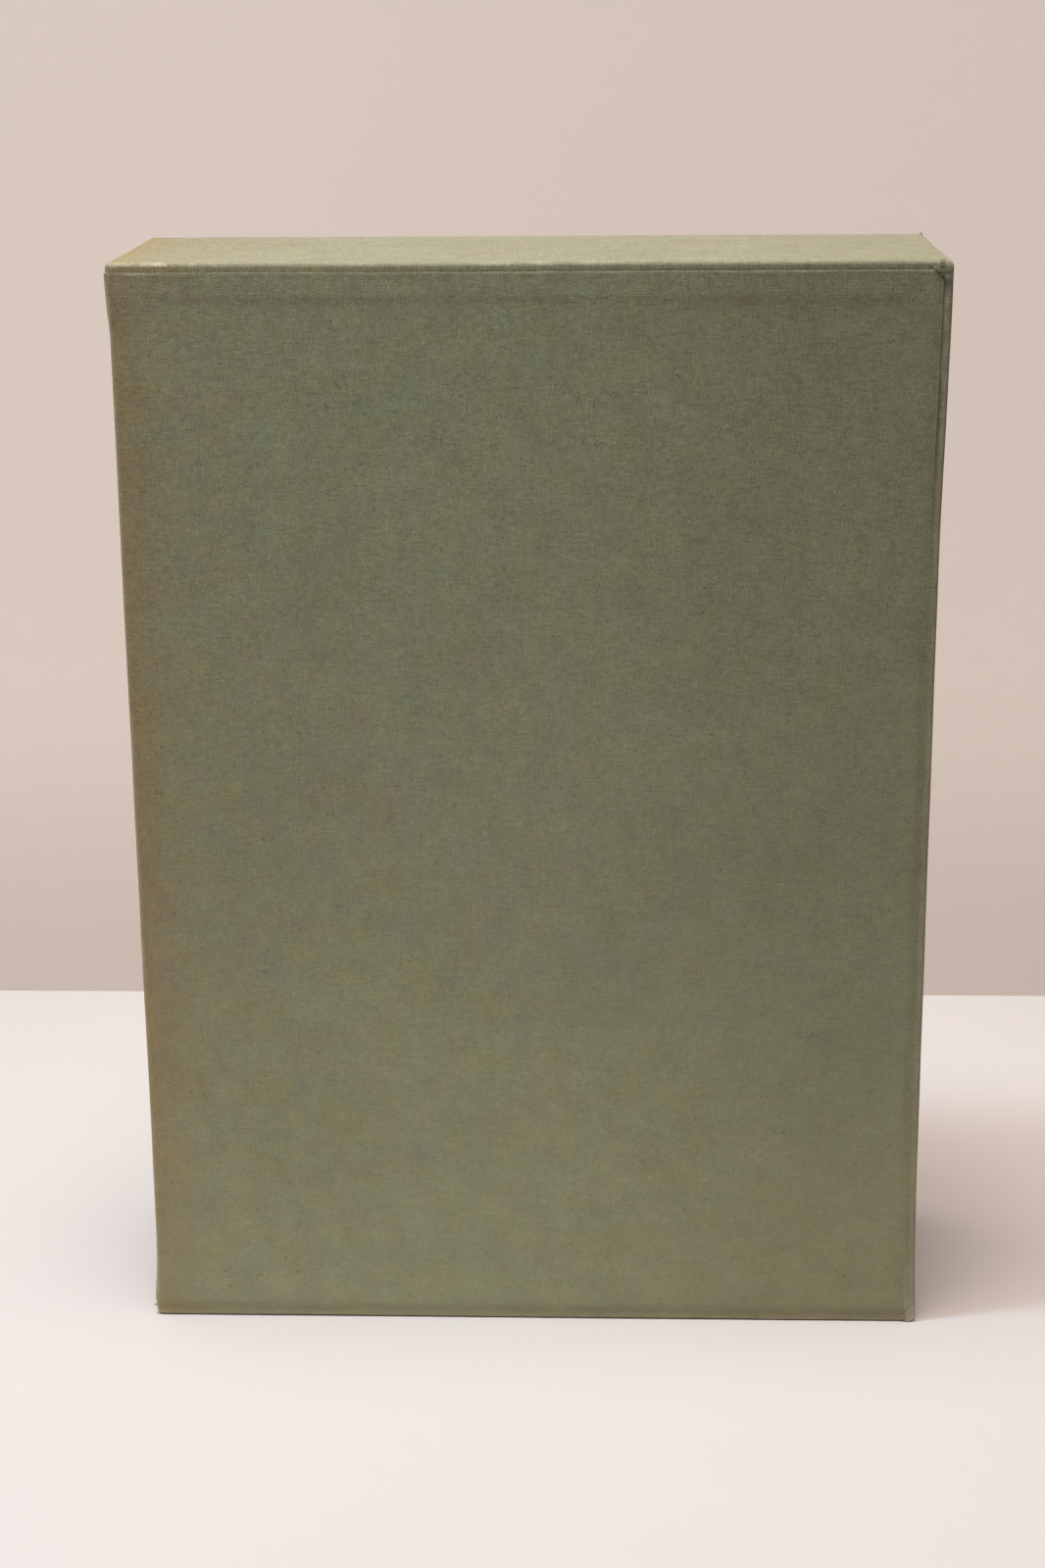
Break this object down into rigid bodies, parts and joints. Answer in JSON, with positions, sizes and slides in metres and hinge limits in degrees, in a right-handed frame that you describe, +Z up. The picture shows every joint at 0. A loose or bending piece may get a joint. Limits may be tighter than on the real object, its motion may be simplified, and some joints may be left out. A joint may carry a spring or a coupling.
{
  "type": "book slipcase",
  "caption": "Upright cloth-covered board slipcase, open along one long edge to take a book, with paper lining and a separate cloth strip round its closed edges.",
  "frame": {"origin": "centre of the case's footprint, on the surface that its tail stands on", "axes": "+Z up, from the tail to the head; -X towards the open mouth; -Y towards the front side"},
  "size_m": [0.21, 0.07, 0.291],
  "materials": {
    "edge_strip": "matte woven book cloth",
    "front_side_cloth": "matte woven book cloth",
    "back_side_cloth": "matte woven book cloth",
    "grey_board": "matte pressed board",
    "lining_paper": "matte laid paper"
  },
  "bodies": {
    "root": {"edge_strip": "edge_strip", "front_side_cloth": "front_side_cloth", "back_side_cloth": "back_side_cloth", "front_board": "grey_board", "back_board": "grey_board", "spine_board": "grey_board", "head_board": "grey_board", "tail_board": "grey_board", "front_lining": "lining_paper", "back_lining": "lining_paper", "spine_lining": "lining_paper", "head_lining": "lining_paper", "tail_lining": "lining_paper"}
  },
  "joints": []
}
